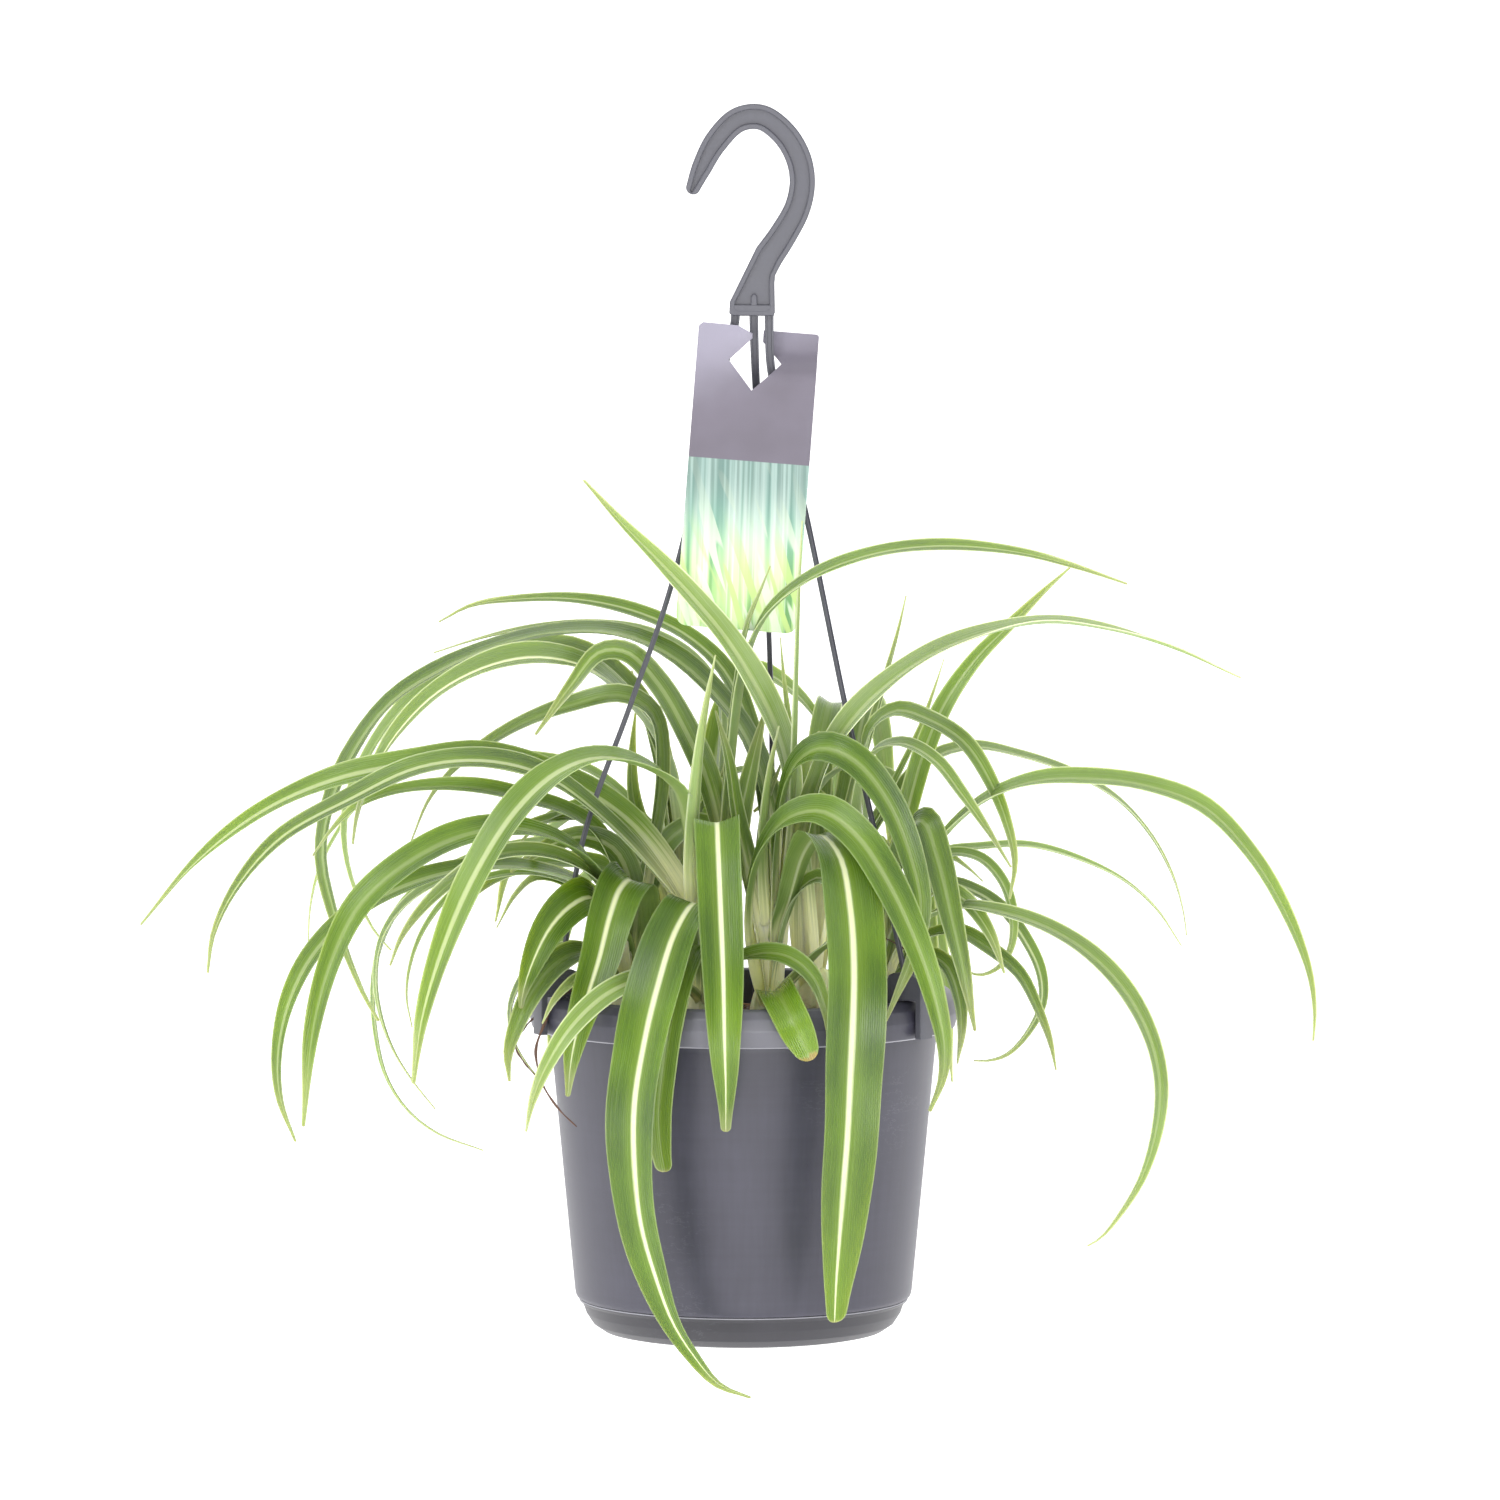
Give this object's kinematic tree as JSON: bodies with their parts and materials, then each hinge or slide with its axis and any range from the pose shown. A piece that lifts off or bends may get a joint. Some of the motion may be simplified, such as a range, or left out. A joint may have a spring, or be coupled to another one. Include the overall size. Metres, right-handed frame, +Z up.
{
  "type": "potted spider plant",
  "caption": "Spider plant with arching green strap leaves and a cream mid-stripe, in a hanging pot with drip saucer, three-armed hanger, hook and hang label.",
  "frame": {"origin": "top of the hook's inner edge, the point that the whole thing hangs from", "axes": "+Z up, +X to the right and -Y towards the front, as in the picture"},
  "size_m": [0.4595, 0.2606, 0.4999],
  "materials": {
    "pot_plastic": "satin dark grey moulded plastic",
    "saucer_plastic": "satin dark grey moulded plastic",
    "soil": "damp peat potting mix, rough",
    "leaf": "waxy green leaf with a cream mid-stripe",
    "hanger_plastic": "satin dark grey moulded plastic",
    "label_card": "printed plastic card, mauve above and green below"
  },
  "bodies": {
    "root": {"pot": "pot_plastic", "drip_saucer": "saucer_plastic", "potting_soil": "soil", "tuft_front_left": "leaf", "tuft_front_right": "leaf", "tuft_right": "leaf", "tuft_left": "leaf", "tuft_back_left": "leaf", "tuft_back_right": "leaf", "hook": "hanger_plastic", "hanger_arm_left": "hanger_plastic", "hanger_arm_right": "hanger_plastic", "hanger_arm_back": "hanger_plastic", "plant_label": "label_card"}
  },
  "joints": []
}
